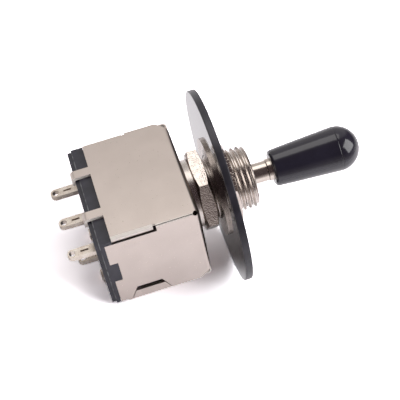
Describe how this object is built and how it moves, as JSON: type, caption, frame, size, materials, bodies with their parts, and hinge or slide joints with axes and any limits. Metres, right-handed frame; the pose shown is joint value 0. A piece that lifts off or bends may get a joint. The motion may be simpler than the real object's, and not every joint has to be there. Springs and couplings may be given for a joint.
{
  "type": "pickup selector switch",
  "caption": "Toggle switch for choosing guitar pickups: folded steel can with solder lugs, threaded bushing with nuts and a round plate, and a lever with a domed tip.",
  "frame": {"origin": "on the lever's centre line, at the middle of the bushing's free thread in front of the dress nut", "axes": "+X along the bushing and lever towards the lever tip; Y is the direction in which the lever swings; +Z is the outward normal of the can's broad panel nearer the row of three lugs"},
  "size_m": [0.0575, 0.0364, 0.0364],
  "materials": {
    "nickel_steel": "satin nickel plate on folded steel sheet",
    "moulded_black": "moulded, slightly rough",
    "plated_lug": "nickel plated, dull",
    "nickel_brass": "turned brass, bright nickel plate",
    "nut_nickel": "bright nickel plate",
    "washer_nickel": "bright nickel plate",
    "gloss_black_plate": "polished black",
    "lever_nickel": "bright nickel plate",
    "tip_black": "moulded, glossy",
    "pin_steel": "ground",
    "slider_nylon": "natural nylon",
    "contact_bronze": "phosphor bronze strip",
    "spring_steel": "drawn wire",
    "ball_steel": "polished",
    "guide_phenolic": "dark moulded insulator"
  },
  "bodies": {
    "switch_body": {"steel_housing": "nickel_steel", "terminal_base": "moulded_black", "solder_lug_left": "plated_lug", "solder_lug_centre": "plated_lug", "solder_lug_right": "plated_lug", "ground_lug": "plated_lug", "threaded_bushing": "nickel_brass", "body_nut": "nut_nickel", "flat_washer": "washer_nickel", "ring_plate": "gloss_black_plate", "dress_nut": "nut_nickel", "pivot_pin": "pin_steel", "slide_guide": "guide_phenolic"},
    "lever_body": {"lever": "lever_nickel", "lever_tip": "tip_black"},
    "slider_body": {"slider": "slider_nylon", "bridge_contact": "contact_bronze", "contact_spring_left": "spring_steel", "contact_spring_right": "spring_steel", "detent_ball": "ball_steel", "detent_spring": "spring_steel"}
  },
  "joints": [
    {"name": "lever_swing", "type": "hinge", "parent": "switch_body", "child": "lever_body", "pos_m": [-0.00402, 0, 0], "axis": [0, 0, 1], "range_deg": [-12, 12]},
    {"name": "slider_travel", "type": "slide", "parent": "switch_body", "child": "slider_body", "axis": [0, 1, 0], "range_m": [-0.00231, 0.00231]}
  ],
  "couplings": [
    {"joint": "slider_travel", "follows": "lever_swing", "m_per_rad": -0.011}
  ]
}
